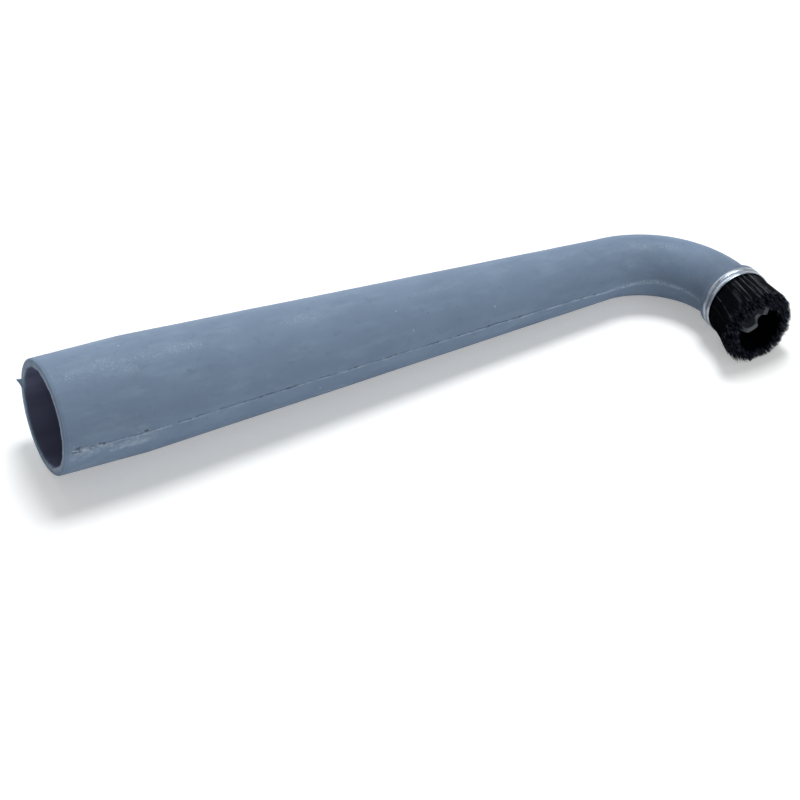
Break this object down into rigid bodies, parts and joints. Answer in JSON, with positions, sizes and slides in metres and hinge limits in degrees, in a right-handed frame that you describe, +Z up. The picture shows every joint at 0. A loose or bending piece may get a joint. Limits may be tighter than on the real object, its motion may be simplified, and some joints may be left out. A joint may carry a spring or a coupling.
{
  "type": "angled rubber vacuum nozzle",
  "caption": "Long tapered rubber suction nozzle with a push-on socket, an elbow and a round brush of stiff bristles in a crimped steel ring at the tip.",
  "frame": {"origin": "on the floor under the middle of the nozzle's box, as it lies at rest", "axes": "+X along the barrel from the socket to the elbow, -Y the way the brush points, +Z up"},
  "size_m": [0.3756, 0.1074, 0.0601],
  "materials": {
    "grey_rubber": "matte moulded",
    "galvanised_steel": "zinc coated",
    "steel_wire": "drawn",
    "black_filament": "satin"
  },
  "bodies": {
    "root": {"rubber_tube": "grey_rubber", "brush_channel": "galvanised_steel", "core_wire": "steel_wire", "bristles": "black_filament"}
  },
  "joints": []
}
